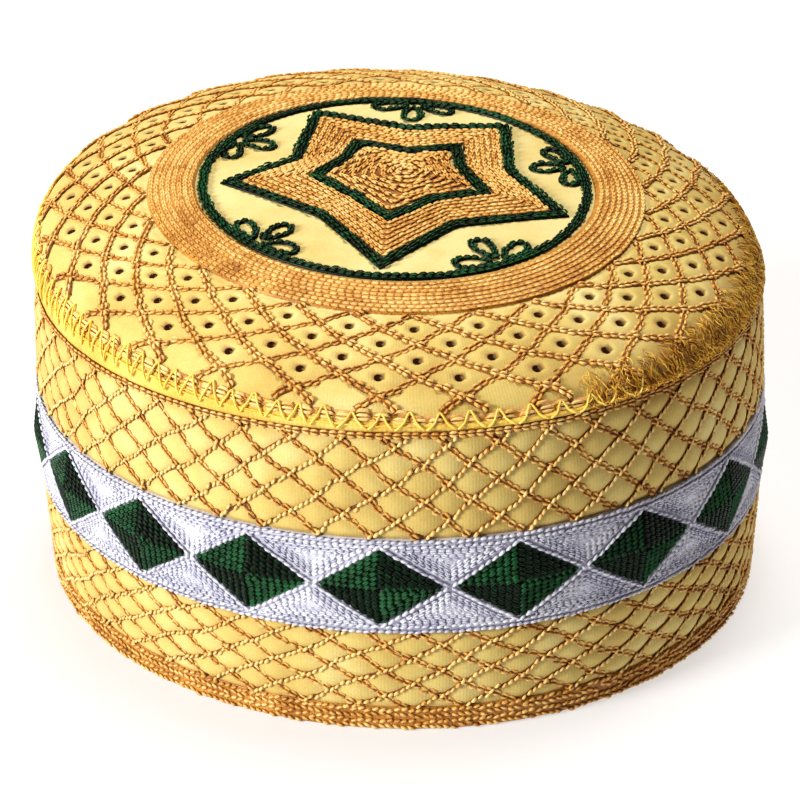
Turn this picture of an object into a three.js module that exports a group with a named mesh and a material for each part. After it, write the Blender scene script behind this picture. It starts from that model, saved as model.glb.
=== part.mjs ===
import * as THREE from "three";
import { mergeVertices } from "three/addons/utils/BufferGeometryUtils.js";

// A round embroidered cap with a flat, gently domed crown, standing on its rim.
// Millimetres, +Z up. The origin is the middle of the rim, on the surface; -Y is the front.

// Wall of the cap: widest radius of the quilted cloth, how far it draws in below and above,
// thickness and height of the tube
const CAP_RADIUS = 91.6;
const RIM_TAPER = 1.6;
const SHOULDER_TAPER = 1.6;
const WALL_HEIGHT = 79;
const WALL_THICKNESS = 2.4;

// Soft shape: the plan is a little oval, and the crown leans up to the left and the back
const OVAL_SWELL = 2.1;
const OVAL_TURN = THREE.MathUtils.degToRad(133);
const LEFT_RISE = 3.1;
const BACK_RISE = 6.6;

// White band with its diamonds, and the stitched hem
const BAND_BOTTOM = 27.6;
const BAND_HEIGHT = 25;
const BAND_THICKNESS = 1.1;
const BAND_MARGIN = 2.6;
const DIAMOND_COUNT = 18;
const DIAMOND_SPACING = 2.4;
const DIAMOND_THICKNESS = 0.9;
const DIAMOND_PEAK = 1;
const BAND_TURN = THREE.MathUtils.degToRad(6.9);
const HEM_HEIGHT = 7;
const HEM_THICKNESS = 1.2;
const HEM_LIFT = 0.4;

// Rolled binding between wall and crown, low at the front and tall at the back
const BINDING_HEIGHT = 8.6;
const BINDING_WIDTH = 3.2;
const BINDING_PROUD = 0.9;

// Crown: a domed disc on the binding, with rows of punched eyelets
const CROWN_SETBACK = 1.3;
const CROWN_THICKNESS = 2.4;
const CROWN_RISE = 11.3;
const CROWN_FULLNESS = 3.85;
const CROWN_EDGE_ROUND = 0.7;
const BORDER_WIDTH = 5.3;
const EYELET_WIDTH = 2.4;
const EYELET_ROWS = 4;
const EYELETS_PER_ROW = 28;

// Raised embroidery on the crown
const COIL_CLEARANCE = 0.7;
const COIL_WIDTH = 12.6;
const COIL_THICKNESS = 1.3;
const COIL_MARGIN = 2.2;
const RING_RADIUS = 47.5;
const RING_WIDTH = 2.4;
const RING_THICKNESS = 1.4;
const OUTLINE_WIDTH = 3;
const OUTLINE_THICKNESS = 1.4;
const FRAME_THICKNESS = 1;
const CENTRE_THICKNESS = 1.1;
const CENTRE_MARGIN = 1;
const TREFOIL_LENGTH = 9;
const TREFOIL_LOOP = 5.2;
const TREFOIL_THREAD = 1.4;
const TREFOIL_THICKNESS = 1.2;

// Sewn pieces that touch keep this clearance
const GAP = 0.3;

// Columns of the wall, three to a diamond, and of the crown, two to an eyelet
const WALL_COLUMNS = 3 * DIAMOND_COUNT;
const CROWN_COLUMNS = 2 * EYELETS_PER_ROW;
const FRONT = -Math.PI / 2;
const RIM_RADIUS = CAP_RADIUS - RIM_TAPER;
const SHOULDER_RADIUS = CAP_RADIUS - SHOULDER_TAPER;
const CROWN_RADIUS = SHOULDER_RADIUS - CROWN_SETBACK;
const RING_INNER = RING_RADIUS - RING_WIDTH / 2;
const COIL_INNER = RING_RADIUS + RING_WIDTH / 2 + COIL_CLEARANCE;

// Heights that several pieces share
const BAND_TOP = BAND_BOTTOM + BAND_HEIGHT;
const BAND_MIDDLE = BAND_BOTTOM + BAND_HEIGHT / 2;
const BINDING_BOTTOM = WALL_HEIGHT + GAP;
const BINDING_TOP = BINDING_BOTTOM + BINDING_HEIGHT;
const CROWN_EDGE_HEIGHT = BINDING_TOP + GAP + CROWN_THICKNESS;

// The star, sewn by hand: outer edges of its two outlines, where each tip and notch has its own
// turn in degrees from +X and its own reach as a share of the green ring's inner radius
const STAR_OUTER = [
  { turn: -95, reach: 0.965 },
  { turn: -57, reach: 0.61 },
  { turn: -21, reach: 0.985 },
  { turn: 13, reach: 0.67 },
  { turn: 48.5, reach: 0.98 },
  { turn: 83, reach: 0.67 },
  { turn: 117.5, reach: 0.98 },
  { turn: 155, reach: 0.62 },
  { turn: 181.5, reach: 0.945 },
  { turn: 226, reach: 0.59 },
];
const STAR_INNER = [
  { turn: -95, reach: 0.475 },
  { turn: -48, reach: 0.325 },
  { turn: -15, reach: 0.54 },
  { turn: 26, reach: 0.425 },
  { turn: 50, reach: 0.585 },
  { turn: 78, reach: 0.39 },
  { turn: 114, reach: 0.53 },
  { turn: 140, reach: 0.395 },
  { turn: 175, reach: 0.475 },
  { turn: 222, reach: 0.32 },
];

const cloth = (color) => new THREE.MeshStandardMaterial({ color, roughness: 0.9, metalness: 0 });
const thread = (color) => new THREE.MeshStandardMaterial({ color, roughness: 0.7, metalness: 0 });
const YELLOW_CLOTH = cloth(0xe6d58a);
const YELLOW_BINDING = cloth(0xebd067);
const GOLD_THREAD = thread(0xc9944e);
const GREEN_THREAD = thread(0x14532d);
const WHITE_THREAD = thread(0xe6e6ee);

// Radius of the wall's outer face at a height, before the facets
function wallCurve(z) {
  const rise = z / WALL_HEIGHT;
  const bulgeAt = 0.45;
  if (rise < bulgeAt) return RIM_RADIUS + RIM_TAPER * Math.sin((rise / bulgeAt) * (Math.PI / 2));
  return CAP_RADIUS - SHOULDER_TAPER * ((rise - bulgeAt) / (1 - bulgeAt)) ** 2;
}

const WALL_RINGS = [
  0,
  HEM_HEIGHT,
  BAND_BOTTOM,
  BAND_TOP,
  (BAND_TOP + WALL_HEIGHT) / 2,
  WALL_HEIGHT,
];

// Straight between the two rings that a value lies between
function between(value, rings, heightOf) {
  let high = 1;
  while (high < rings.length - 1 && value > rings[high]) high += 1;
  const share = (value - rings[high - 1]) / (rings[high] - rings[high - 1]);
  return THREE.MathUtils.lerp(heightOf(rings[high - 1]), heightOf(rings[high]), share);
}

// How far in a flat facet lies at an angle counted from its column
function facet(angle, columns) {
  const step = (2 * Math.PI) / columns;
  const within = ((angle % step) + step) % step;
  return Math.cos(step / 2) / Math.cos(within - step / 2);
}

// A point on the wall's facets: columns round from the band's turn, a height and a lift
function onWall(column, z, lift) {
  const turn = (column * 2 * Math.PI) / WALL_COLUMNS;
  const radius = (between(z, WALL_RINGS, wallCurve) + lift) * facet(turn, WALL_COLUMNS);
  const angle = FRONT + BAND_TURN + turn;
  return new THREE.Vector3(radius * Math.cos(angle), radius * Math.sin(angle), z);
}

function crownCurve(radius) {
  const share = Math.min(radius / CROWN_RADIUS, 1);
  return CROWN_EDGE_HEIGHT + CROWN_RISE * (1 - share ** CROWN_FULLNESS);
}

// A point over the crown's smooth upper face
function onCrown(x, y, lift) {
  return new THREE.Vector3(x, y, crownCurve(Math.hypot(x, y)) + lift);
}

// The soft cap's own shape: a little oval, with a leaning crown. The binding takes up the lean
// at the front and the sides, and at the back the wall above the band stretches with it.
function settle(point) {
  const reach = Math.hypot(point.x, point.y) / CAP_RADIUS;
  const angle = Math.atan2(point.y, point.x);
  const swell = 1 + (OVAL_SWELL / CAP_RADIUS) * reach ** 2 * Math.cos(2 * (angle - OVAL_TURN));
  point.x *= swell;
  point.y *= swell;
  const back = THREE.MathUtils.clamp(point.y / CAP_RADIUS, 0, 1);
  const start = THREE.MathUtils.lerp(BINDING_BOTTOM, BAND_TOP, back);
  const share = THREE.MathUtils.clamp((point.z - start) / (BINDING_TOP - start), 0, 1);
  point.z += (share * (BACK_RISE * point.y - LEFT_RISE * point.x)) / CAP_RADIUS;
  return point;
}

function sewn(name, geometry, material) {
  const position = geometry.getAttribute("position");
  const point = new THREE.Vector3();
  for (let i = 0; i < position.count; i += 1) {
    settle(point.fromBufferAttribute(position, i));
    position.setXYZ(i, point.x, point.y, point.z);
  }
  geometry.computeVertexNormals();
  const mesh = new THREE.Mesh(geometry, material);
  mesh.name = name;
  return mesh;
}

// A closed section [radius, height], outer side upwards, turned round the axis
function turned(name, section, columns, firstTurn, material) {
  const points = [...section, section[0]].map(([radius, z]) => new THREE.Vector2(radius, z));
  const lathe = new THREE.LatheGeometry(points, columns, firstTurn);
  lathe.rotateX(Math.PI / 2);
  lathe.deleteAttribute("normal");
  lathe.deleteAttribute("uv");
  return sewn(name, mergeVertices(lathe, 1e-4), material);
}

// A closed body over flat plan faces: an upper and a lower skin, and a wall on each open edge.
// The plan wraps round in x after a whole turn of columns, where it is given one.
function slab(name, faces, over, under, material, wholeTurn = 0) {
  const grid = 1e4;
  const numbers = new Map();
  const plan = [];
  function numberOf(point) {
    let across = Math.round(point.x * grid);
    if (wholeTurn) across = (across + wholeTurn * grid) % (wholeTurn * grid);
    const key = `${across} ${Math.round(point.y * grid)}`;
    if (!numbers.has(key)) {
      numbers.set(key, plan.length);
      plan.push(point);
    }
    return numbers.get(key);
  }
  const triangles = [];
  for (const { outline, holes = [] } of faces) {
    const corners = [outline, ...holes].flat();
    for (const [a, b, c] of THREE.ShapeUtils.triangulateShape(outline, holes)) {
      const side = corners[b].clone().sub(corners[a]).cross(corners[c].clone().sub(corners[a]));
      const trio = side > 0 ? [a, b, c] : [a, c, b];
      triangles.push(trio.map((corner) => numberOf(corners[corner])));
    }
  }
  const edges = new Set(triangles.flatMap(([a, b, c]) => [`${a} ${b}`, `${b} ${c}`, `${c} ${a}`]));
  const lower = plan.length;
  const index = [];
  for (const [a, b, c] of triangles) {
    index.push(a, b, c);
    index.push(lower + a, lower + c, lower + b);
  }
  for (const edge of edges) {
    const [a, b] = edge.split(" ").map(Number);
    if (edges.has(`${b} ${a}`)) continue;
    index.push(b, a, lower + a);
    index.push(b, lower + a, lower + b);
  }
  const points = [...plan.map(over), ...plan.map(under)];
  const geometry = new THREE.BufferGeometry().setFromPoints(points);
  geometry.setIndex(index);
  return sewn(name, geometry, material);
}

const at = (x, y) => new THREE.Vector2(x, y);

// The open tube of quilted cloth
function sideWall() {
  const outer = WALL_RINGS.map((z) => [wallCurve(z), z]);
  const inner = [WALL_HEIGHT, BAND_MIDDLE, 0].map((z) => [wallCurve(z) - WALL_THICKNESS, z]);
  return turned("side_wall", [...outer, ...inner], WALL_COLUMNS, BAND_TURN, YELLOW_CLOTH);
}

// Thick chain rows along the rim, a low rounded ridge just clear of the surface
function hemRows() {
  const section = [
    [wallCurve(HEM_LIFT) + GAP, HEM_LIFT],
    [wallCurve(HEM_LIFT) + GAP + HEM_THICKNESS, HEM_LIFT],
    [wallCurve(HEM_HEIGHT) + GAP + HEM_THICKNESS, HEM_HEIGHT - HEM_THICKNESS / 2],
    [wallCurve(HEM_HEIGHT) + GAP + HEM_THICKNESS / 2, HEM_HEIGHT],
    [wallCurve(HEM_HEIGHT) + GAP, HEM_HEIGHT],
  ];
  return turned("hem_rows", section, WALL_COLUMNS, BAND_TURN, GOLD_THREAD);
}

// Corners of a diamond's opening, in columns and heights, and where its sides cross the columns
function diamondPlan(firstColumn, inset) {
  const columnWidth = (2 * Math.PI * CAP_RADIUS) / WALL_COLUMNS;
  const tip = (DIAMOND_SPACING / 2 + inset) / columnWidth;
  const halfWidth = 1.5 - tip;
  const halfHeight = BAND_HEIGHT / 2 - BAND_MARGIN - inset;
  const crossing = halfHeight * ((1 - tip) / halfWidth);
  const corner = (column, rise) => at(firstColumn + column, BAND_MIDDLE + rise);
  return {
    left: corner(tip, 0),
    right: corner(3 - tip, 0),
    top: corner(1.5, halfHeight),
    bottom: corner(1.5, -halfHeight),
    middle: corner(1.5, 0),
    leftRidge: corner(1, 0),
    rightRidge: corner(2, 0),
    leftHigh: corner(1, crossing),
    leftLow: corner(1, -crossing),
    rightHigh: corner(2, crossing),
    rightLow: corner(2, -crossing),
  };
}

// The white band: a raised ring pierced by the diamond openings
function whiteBand() {
  const faces = [];
  for (let i = 0; i < DIAMOND_COUNT; i += 1) {
    const first = 3 * i;
    const d = diamondPlan(first, 0);
    const low = [0, 1, 2, 3].map((column) => at(first + column, BAND_BOTTOM));
    const high = [0, 1, 2, 3].map((column) => at(first + column, BAND_TOP));
    faces.push({ outline: [low[0], low[1], d.leftLow, d.left, d.leftHigh, high[1], high[0]] });
    faces.push({ outline: [low[1], low[2], d.rightLow, d.bottom, d.leftLow] });
    faces.push({ outline: [d.leftHigh, d.top, d.rightHigh, high[2], high[1]] });
    faces.push({ outline: [low[2], low[3], high[3], high[2], d.rightHigh, d.right, d.rightLow] });
  }
  const over = (point) => onWall(point.x, point.y, GAP + BAND_THICKNESS);
  const under = (point) => onWall(point.x, point.y, GAP);
  return slab("white_band", faces, over, under, WHITE_THREAD, WALL_COLUMNS);
}

// One green diamond: four facets that rise to a shallow peak
function greenDiamond(i) {
  const d = diamondPlan(3 * i, GAP);
  const faces = [
    { outline: [d.left, d.leftRidge, d.leftHigh] },
    { outline: [d.leftRidge, d.middle, d.top, d.leftHigh] },
    { outline: [d.left, d.leftLow, d.leftRidge] },
    { outline: [d.leftLow, d.bottom, d.middle, d.leftRidge] },
    { outline: [d.rightRidge, d.right, d.rightHigh] },
    { outline: [d.middle, d.rightRidge, d.rightHigh, d.top] },
    { outline: [d.rightRidge, d.rightLow, d.right] },
    { outline: [d.middle, d.bottom, d.rightLow, d.rightRidge] },
  ];
  const ridgeShare = 1 - (d.middle.x - d.leftRidge.x) / (d.middle.x - d.left.x);
  const peaks = new Map([
    [d.middle, 1],
    [d.leftRidge, ridgeShare],
    [d.rightRidge, ridgeShare],
  ]);
  const over = (point) => {
    const peak = DIAMOND_PEAK * (peaks.get(point) ?? 0);
    return onWall(point.x, point.y, GAP + DIAMOND_THICKNESS + peak);
  };
  const under = (point) => onWall(point.x, point.y, GAP);
  const name = `green_diamond_${String(i + 1).padStart(2, "0")}`;
  return slab(name, faces, over, under, GREEN_THREAD);
}

// The rolled strip that joins the wall's top to the crown's edge, round on its outer side
function edgeBinding() {
  const outer = SHOULDER_RADIUS + BINDING_PROUD;
  const inner = outer - BINDING_WIDTH;
  const round = BINDING_PROUD;
  const innerTop = crownCurve(inner) - CROWN_THICKNESS - GAP;
  const section = [
    [inner, BINDING_BOTTOM],
    [outer - round, BINDING_BOTTOM],
    [outer, BINDING_BOTTOM + round],
    [outer, BINDING_TOP - 2 * round],
    [outer - round, BINDING_TOP],
    [inner, innerTop],
  ];
  return turned("edge_binding", section, WALL_COLUMNS, BAND_TURN, YELLOW_BINDING);
}

const FIELD_INNER = COIL_INNER + COIL_WIDTH + COIL_MARGIN;
const FIELD_OUTER = CROWN_RADIUS - BORDER_WIDTH;
const EYELET_PITCH = (FIELD_OUTER - FIELD_INNER) / EYELET_ROWS;
const FIELD_RINGS = Array.from({ length: EYELET_ROWS + 1 }, (_, row) => FIELD_INNER + row * EYELET_PITCH);
const CROWN_RINGS = [
  0,
  FIELD_INNER / 3,
  (FIELD_INNER * 2) / 3,
  ...FIELD_RINGS,
  CROWN_RADIUS - CROWN_EDGE_ROUND,
  CROWN_RADIUS,
];

// A plan point on the crown's facets: a radius on the columns and a column
function crownPlan(radius, column) {
  const turn = (column * 2 * Math.PI) / CROWN_COLUMNS;
  const faceted = radius * facet(turn, CROWN_COLUMNS);
  return at(faceted * Math.cos(turn), faceted * Math.sin(turn));
}

// The punched, domed disc of the crown
function crownPanel() {
  const faces = [];
  const sides = 6;
  for (let column = 0; column < CROWN_COLUMNS; column += 1) {
    for (let ring = 1; ring < CROWN_RINGS.length; ring += 1) {
      const near = CROWN_RINGS[ring - 1];
      const far = CROWN_RINGS[ring];
      const outer = [crownPlan(far, column), crownPlan(far, column + 1)];
      if (near === 0) {
        faces.push({ outline: [at(0, 0), ...outer] });
        continue;
      }
      const outline = [crownPlan(near, column), ...outer, crownPlan(near, column + 1)];
      const row = FIELD_RINGS.indexOf(near);
      const punched = row >= 0 && row < EYELET_ROWS && (row + column) % 2 === 0;
      const holes = [];
      if (punched) {
        const middle = crownPlan((near + far) / 2, column + 0.5);
        const hole = Array.from({ length: sides }, (_, side) => {
          const angle = (side * 2 * Math.PI) / sides + middle.angle();
          const half = EYELET_WIDTH / 2;
          return at(middle.x + half * Math.cos(angle), middle.y + half * Math.sin(angle));
        });
        holes.push(hole.reverse());
      }
      faces.push({ outline, holes });
    }
  }
  const height = (point) => {
    const radius = point.length() / facet(Math.atan2(point.y, point.x), CROWN_COLUMNS);
    return between(Math.min(radius, CROWN_RADIUS), CROWN_RINGS, crownCurve);
  };
  const rounding = (point) => (point.length() > CROWN_RADIUS - CROWN_EDGE_ROUND / 2 ? CROWN_EDGE_ROUND : 0);
  const over = (point) => new THREE.Vector3(point.x, point.y, height(point) - rounding(point));
  const under = (point) => {
    const z = height(point) - CROWN_THICKNESS + rounding(point);
    return new THREE.Vector3(point.x, point.y, z);
  };
  return slab("crown_panel", faces, over, under, YELLOW_CLOTH);
}

// A raised ring on the crown, with its edges rounded down
function crownRing(name, inner, width, thickness, material) {
  const round = thickness / 2;
  const lift = (radius, height) => [radius, crownCurve(radius) + GAP + height];
  const section = [
    lift(inner, 0),
    lift(inner + width, 0),
    lift(inner + width, thickness - round),
    lift(inner + width - round, thickness),
    lift(inner + round, thickness),
    lift(inner, thickness - round),
  ];
  return turned(name, section, CROWN_COLUMNS, 0, material);
}

// Plan corners of a star from its table, moved out by an offset at right angles to its sides
function starCorners(table, offset) {
  const corners = table.map(({ turn, reach }) => {
    const angle = THREE.MathUtils.degToRad(turn);
    return at(Math.cos(angle), Math.sin(angle)).multiplyScalar(reach * RING_INNER);
  });
  return corners.map((corner, i) => {
    const before = corners[(i + corners.length - 1) % corners.length];
    const after = corners[(i + 1) % corners.length];
    const sideIn = corner.clone().sub(before).normalize();
    const sideOut = after.clone().sub(corner).normalize();
    const normalIn = at(sideIn.y, -sideIn.x);
    const normalOut = at(sideOut.y, -sideOut.x);
    const across = normalIn.add(normalOut).normalize();
    return corner.clone().addScaledVector(across, offset / across.dot(normalOut));
  });
}

// The same outline with points along each side, so that it follows the dome
function alongSides(corners, pieces) {
  return corners.flatMap((corner, i) => {
    const next = corners[(i + 1) % corners.length];
    return Array.from({ length: pieces }, (_, k) => corner.clone().lerp(next, k / pieces));
  });
}

function crownRelief(name, faces, thickness, material) {
  const over = (point) => onCrown(point.x, point.y, GAP + thickness);
  const under = (point) => onCrown(point.x, point.y, GAP);
  return slab(name, faces, over, under, material);
}

// A closed strip between two star outlines, in quads along the sides
function starStrip(outer, inner) {
  return outer.map((corner, i) => {
    const next = (i + 1) % outer.length;
    return { outline: [inner[i], corner, outer[next], inner[next]] };
  });
}

function starOutline(name, table, pieces) {
  const outer = alongSides(starCorners(table, 0), pieces);
  const inner = alongSides(starCorners(table, -OUTLINE_WIDTH), pieces);
  return crownRelief(name, starStrip(outer, inner), OUTLINE_THICKNESS, GREEN_THREAD);
}

// Gold filling between the two green outlines
function starFrame() {
  const outer = alongSides(starCorners(STAR_OUTER, -OUTLINE_WIDTH - GAP), 3);
  const inner = alongSides(starCorners(STAR_INNER, GAP), 3);
  return crownRelief("star_frame_gold", starStrip(outer, inner), FRAME_THICKNESS, GOLD_THREAD);
}

// Gold middle, a small star of its own inside the inner outline
function starCentre() {
  const corners = starCorners(STAR_INNER, -OUTLINE_WIDTH - CENTRE_MARGIN);
  const middle = corners.reduce((sum, corner) => sum.add(corner), at(0, 0));
  middle.divideScalar(corners.length);
  const faces = corners.map((corner, i) => {
    return { outline: [middle, corner, corners[(i + 1) % corners.length]] };
  });
  return crownRelief("star_centre_gold", faces, CENTRE_THICKNESS, GOLD_THREAD);
}

// One sprig: three thread loops that open from a foot beside the green ring
function trefoil(i) {
  const tips = STAR_OUTER.filter((_, k) => k % 2 === 0).map((tip) => tip.turn);
  const next = i + 1 < tips.length ? tips[i + 1] : tips[0] + 360;
  const turn = THREE.MathUtils.degToRad((tips[i] + next) / 2);
  const outward = at(Math.cos(turn), Math.sin(turn));
  const foot = outward.clone().multiplyScalar(RING_INNER - GAP);
  const fan = THREE.MathUtils.degToRad(62);
  const loopPoints = 7;
  const ellipse = (lean, length, width) => {
    const inward = outward.clone().negate().rotateAround(at(0, 0), lean);
    const across = at(-inward.y, inward.x);
    const middle = foot.clone().addScaledVector(inward, TREFOIL_LENGTH * 0.56);
    return Array.from({ length: loopPoints }, (_, k) => {
      const angle = (k * 2 * Math.PI) / loopPoints + Math.PI;
      const point = middle.clone().addScaledVector(inward, (length / 2) * Math.cos(angle));
      return point.addScaledVector(across, (width / 2) * Math.sin(angle));
    });
  };
  const loops = [-fan, 0, fan];
  const footHalf = TREFOIL_THREAD;
  const side = at(-outward.y, outward.x);
  const footPoint = (along) => foot.clone().addScaledVector(side, along);
  const lobes = loops.flatMap((lean) => {
    const whole = ellipse(lean, TREFOIL_LENGTH * 0.86, TREFOIL_LOOP);
    return whole.slice(2, loopPoints - 1);
  });
  const outline = [footPoint(footHalf), ...lobes, footPoint(-footHalf)];
  const holes = loops.map((lean) => {
    const length = TREFOIL_LENGTH * 0.86 - 2 * TREFOIL_THREAD;
    const width = TREFOIL_LOOP - 2 * TREFOIL_THREAD;
    return ellipse(lean, length, width).reverse();
  });
  const faces = [{ outline, holes }];
  return crownRelief(`trefoil_${i + 1}`, faces, TREFOIL_THICKNESS, GREEN_THREAD);
}

const group = new THREE.Group();
group.add(sideWall(), hemRows(), whiteBand(), edgeBinding(), crownPanel());
for (let i = 0; i < DIAMOND_COUNT; i += 1) group.add(greenDiamond(i));
group.add(crownRing("gold_coil", COIL_INNER, COIL_WIDTH, COIL_THICKNESS, GOLD_THREAD));
group.add(crownRing("green_ring", RING_INNER, RING_WIDTH, RING_THICKNESS, GREEN_THREAD));
group.add(starOutline("star_outline_outer", STAR_OUTER, 3));
group.add(starOutline("star_outline_inner", STAR_INNER, 2));
group.add(starFrame(), starCentre());
for (let i = 0; i < STAR_OUTER.length / 2; i += 1) group.add(trefoil(i));

export default group;
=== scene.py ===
# %% [markdown]
# # An embroidered kufi
# A kufi is a round cap of stiff quilted cotton. This one stands on its open rim. Its wall and crown
# are covered in rows of chain and rope stitch, and every row is sewn here stitch by stitch as a mesh.
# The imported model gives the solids. They could be kept under the embroidery, but plain cloth solids
# would show between the stitches, so a sewn piece of the same shape takes the place of each.

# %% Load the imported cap
import math
import bpy
import numpy as np
from mathutils import Matrix, Vector


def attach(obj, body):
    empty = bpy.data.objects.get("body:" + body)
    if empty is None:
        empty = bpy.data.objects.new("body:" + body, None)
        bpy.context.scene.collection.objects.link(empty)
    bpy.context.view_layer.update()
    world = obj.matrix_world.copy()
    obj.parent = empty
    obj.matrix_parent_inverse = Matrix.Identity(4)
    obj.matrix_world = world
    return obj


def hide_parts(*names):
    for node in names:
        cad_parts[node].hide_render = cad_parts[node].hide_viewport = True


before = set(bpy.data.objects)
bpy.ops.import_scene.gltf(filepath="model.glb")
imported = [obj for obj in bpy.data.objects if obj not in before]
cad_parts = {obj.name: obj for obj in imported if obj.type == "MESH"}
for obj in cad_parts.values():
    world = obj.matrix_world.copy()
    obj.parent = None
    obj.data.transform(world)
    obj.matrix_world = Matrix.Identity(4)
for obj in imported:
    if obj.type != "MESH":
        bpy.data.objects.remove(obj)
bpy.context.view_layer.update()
random = np.random.default_rng(41)

# %% [markdown]
# ## The shape that everything is sewn on
# Threads have to lie exactly on the wall and the crown. The solids could be ray cast, but the cap's
# form is a few plain curves, so the same curves are written here. All lengths are millimetres, and
# they become metres when a mesh is made.

# %% Sizes of the cap
MM = 0.001
FRONT = -math.pi / 2
CAP_RADIUS = 91.6
RIM_TAPER = 1.6
SHOULDER_TAPER = 1.6
SHOULDER_RADIUS = CAP_RADIUS - SHOULDER_TAPER
WALL_HEIGHT = 79
CLOTH_THICKNESS = 2.4
OVAL_SWELL = 2.1
OVAL_TURN = math.radians(133)
LEFT_RISE = 3.1
BACK_RISE = 6.6
BAND_BOTTOM = 27.6
BAND_HEIGHT = 25
BAND_TOP = BAND_BOTTOM + BAND_HEIGHT
BAND_MIDDLE = BAND_BOTTOM + BAND_HEIGHT / 2
BAND_TURN = math.radians(6.9)
HEM_HEIGHT = 7
BINDING_BOTTOM = 79.3
BINDING_HEIGHT = 8.6
BINDING_TOP = BINDING_BOTTOM + BINDING_HEIGHT
BINDING_PROUD = 0.9
CROWN_RADIUS = 88.7
CROWN_EDGE_HEIGHT = 90.6
CROWN_RISE = 11.3
CROWN_FULLNESS = 3.85
SOLID_GAP = 0.3
ROUND = 2 * math.pi * CAP_RADIUS


# %% The cap's curves and its soft lean
def wall_radius(z):
    """Radius of the wall's outer face at a height."""
    rise = np.asarray(z, float) / WALL_HEIGHT
    bulge_at = 0.45
    below = RIM_TAPER * (1 - np.sin(np.clip(rise / bulge_at, 0, 1) * math.pi / 2))
    above = SHOULDER_TAPER * (np.clip(rise - bulge_at, 0, None) / (1 - bulge_at)) ** 2
    return CAP_RADIUS - below - above


def crown_height(radius):
    """Height of the crown's upper face at a radius."""
    share = np.clip(np.asarray(radius) / CROWN_RADIUS, 0, 1)
    return CROWN_EDGE_HEIGHT + CROWN_RISE * (1 - share**CROWN_FULLNESS)


def settle(points):
    """The soft cap's own shape: a little oval, with a crown that leans up to the left and the back."""
    x, y, z = points[..., 0], points[..., 1], points[..., 2]
    reach = np.hypot(x, y) / CAP_RADIUS
    swell = 1 + OVAL_SWELL / CAP_RADIUS * reach**2 * np.cos(2 * (np.arctan2(y, x) - OVAL_TURN))
    x = x * swell
    y = y * swell
    back = np.clip(y / CAP_RADIUS, 0, 1)
    start = BINDING_BOTTOM + (BAND_TOP - BINDING_BOTTOM) * back
    share = np.clip((z - start) / (BINDING_TOP - start), 0, 1)
    z = z + share * (BACK_RISE * y - LEFT_RISE * x) / CAP_RADIUS
    return np.stack([x, y, z], -1)


# %% Faces to sew on
def unit(vectors):
    return vectors / np.maximum(np.linalg.norm(vectors, axis=-1, keepdims=True), 1e-9)


def pairs(first, second):
    """Two sets of numbers side by side, as the places of a plan."""
    return np.stack(np.broadcast_arrays(first, second), -1)


def polar(angle, radius):
    return pairs(radius * np.cos(angle), radius * np.sin(angle))


def lengths(points):
    """The distance along a line to each of its points."""
    return np.concatenate([[0], np.cumsum(np.linalg.norm(np.diff(points, axis=0), axis=1))])


def round_cap(arc, radius, z):
    """Points on the settled cap: arc is millimetres round from a waist of the band."""
    angle = FRONT + BAND_TURN + arc / CAP_RADIUS
    return settle(np.stack([radius * np.cos(angle), radius * np.sin(angle), z + 0 * angle], -1))


def on_wall(plan, lift):
    """Points on the wall: plan holds millimetres round, and height."""
    return round_cap(plan[..., 0], wall_radius(plan[..., 1]) + lift, plan[..., 1])


def on_crown(plan, lift):
    """Points over the crown: plan holds x and y."""
    height = crown_height(np.hypot(plan[..., 0], plan[..., 1])) + lift
    return settle(np.stack([plan[..., 0], plan[..., 1], height], -1))


print("crown top at", round(float(on_crown(np.array([0.0, 30.0]), 0)[2]), 1), "mm")

# %% [markdown]
# ## Meshes from arrays
# A stitched cap has tens of thousands of stitches. Adding them one by one with operators would take
# hours, so each piece is one mesh, filled from numpy arrays. A number called Tone at each vertex tells
# the material how dark to draw it: on thread it darkens the depth of each stitch as painted shade, and
# on cloth it paints shade, light and wear.


# %% Make a piece from arrays
def add_object(name, data):
    added = bpy.data.objects.new(name, data)
    bpy.context.collection.objects.link(added)
    return added


def make_piece(name, material, slot, points, faces, tones=None, replaced=()):
    """A piece of the cap, from points in millimetres and arrays of corner numbers, 3 or 4 to a face."""
    mesh = bpy.data.meshes.new(name)
    mesh.vertices.add(len(points))
    mesh.vertices.foreach_set("co", (np.asarray(points) * MM).ravel())
    corners = np.concatenate([face.ravel() for face in faces]).astype(np.int32)
    sizes = np.concatenate([np.full(len(face), face.shape[1]) for face in faces])
    starts = np.concatenate([[0], np.cumsum(sizes)[:-1]]).astype(np.int32)
    mesh.loops.add(len(corners))
    mesh.loops.foreach_set("vertex_index", corners)
    mesh.polygons.add(len(sizes))
    mesh.polygons.foreach_set("loop_start", starts)
    mesh.polygons.foreach_set("use_smooth", np.ones(len(sizes), bool))
    if tones is not None:
        layer = mesh.attributes.new("Tone", "FLOAT", "POINT")
        layer.data.foreach_set("value", np.asarray(tones, np.float32).ravel())
    mesh.update(calc_edges=True)
    mesh.validate()
    mesh.materials.append(material)
    piece = add_object(name, mesh)
    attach(piece, "root")
    if replaced:
        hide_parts(*replaced)
    print(f"{name}: {int((sizes - 2).sum())} triangles")


def wrap_faces(rows, columns):
    """Quads of a grid that closes on itself both ways, as a hollow ring of cloth does."""
    row = np.arange(rows)[:, None]
    column = np.arange(columns)[None, :]
    next_row = (row + 1) % rows
    next_column = (column + 1) % columns
    corners = [row * columns + column, row * columns + next_column,
               next_row * columns + next_column, next_row * columns + column]
    return np.stack([np.broadcast_to(corner, (rows, columns)) for corner in corners], -1).reshape(-1, 4)


def tube_faces(rows, columns):
    """The same grid as an open tube, closed only the short way round."""
    return wrap_faces(rows, columns)[:-columns]
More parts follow.
